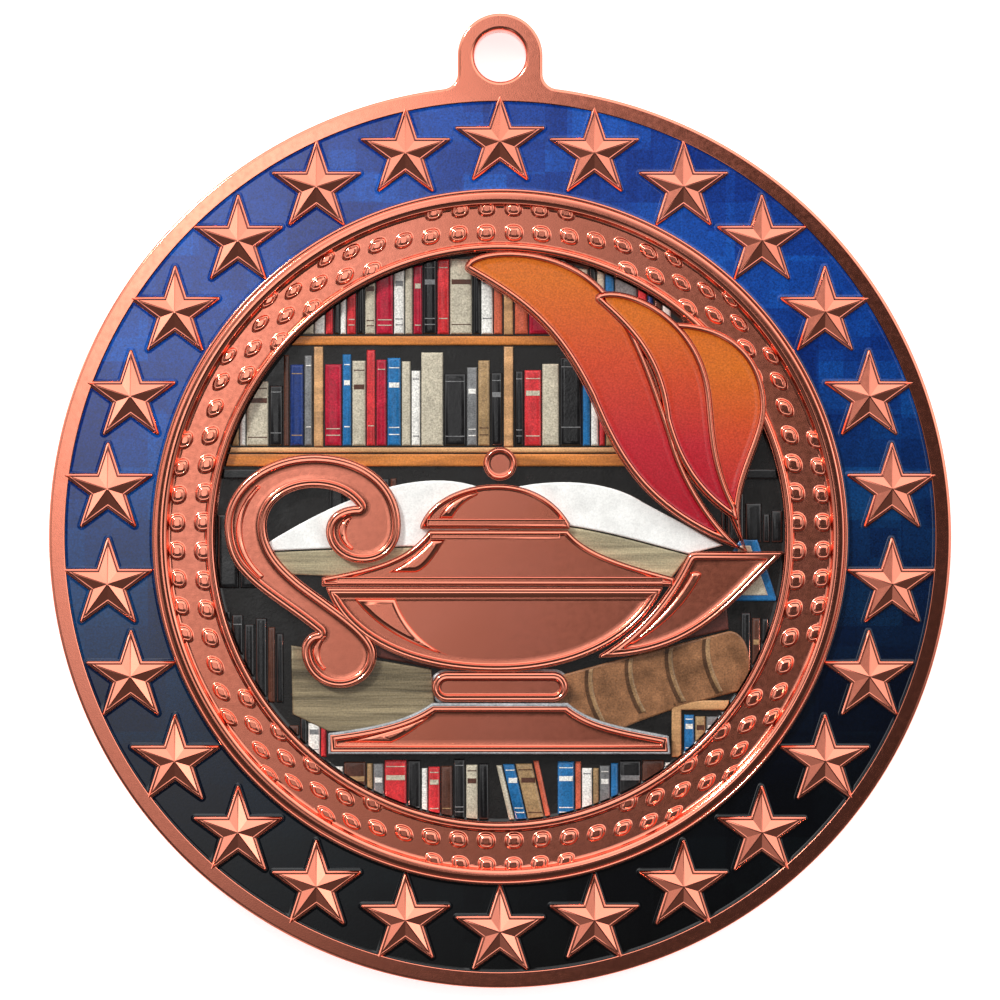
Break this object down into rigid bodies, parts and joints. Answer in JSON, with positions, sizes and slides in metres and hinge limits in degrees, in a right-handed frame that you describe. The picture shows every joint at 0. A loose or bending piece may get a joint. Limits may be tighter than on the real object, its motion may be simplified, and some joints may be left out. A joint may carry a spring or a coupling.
{
  "type": "academic medallion",
  "caption": "Round die-cast medallion with a hanging loop, a ring of stars on blue, a beaded ring, and a raised lamp of learning with a flame over a bookshelf picture.",
  "frame": {"origin": "centre of the disc, on its flat back face", "axes": "+Z out of the medal's face, +Y from the disc's centre to the hanging loop, +X to the right seen from the face"},
  "size_m": [0.07, 0.0756, 0.0038],
  "materials": {
    "copper": "polished copper plating on a zinc casting",
    "night_blue": "printed colour, blue at the top to black at the bottom, under a clear coat",
    "book_picture": "printed and embossed picture under a clear coat",
    "flame_colour": "grained enamel, orange at the top to red at the bottom"
  },
  "bodies": {
    "root": {"medal_body": "copper", "band_fill": "night_blue", "picture_fill": "book_picture", "flame_fill_left": "flame_colour", "flame_fill_middle": "flame_colour", "flame_fill_right": "flame_colour"}
  },
  "joints": []
}
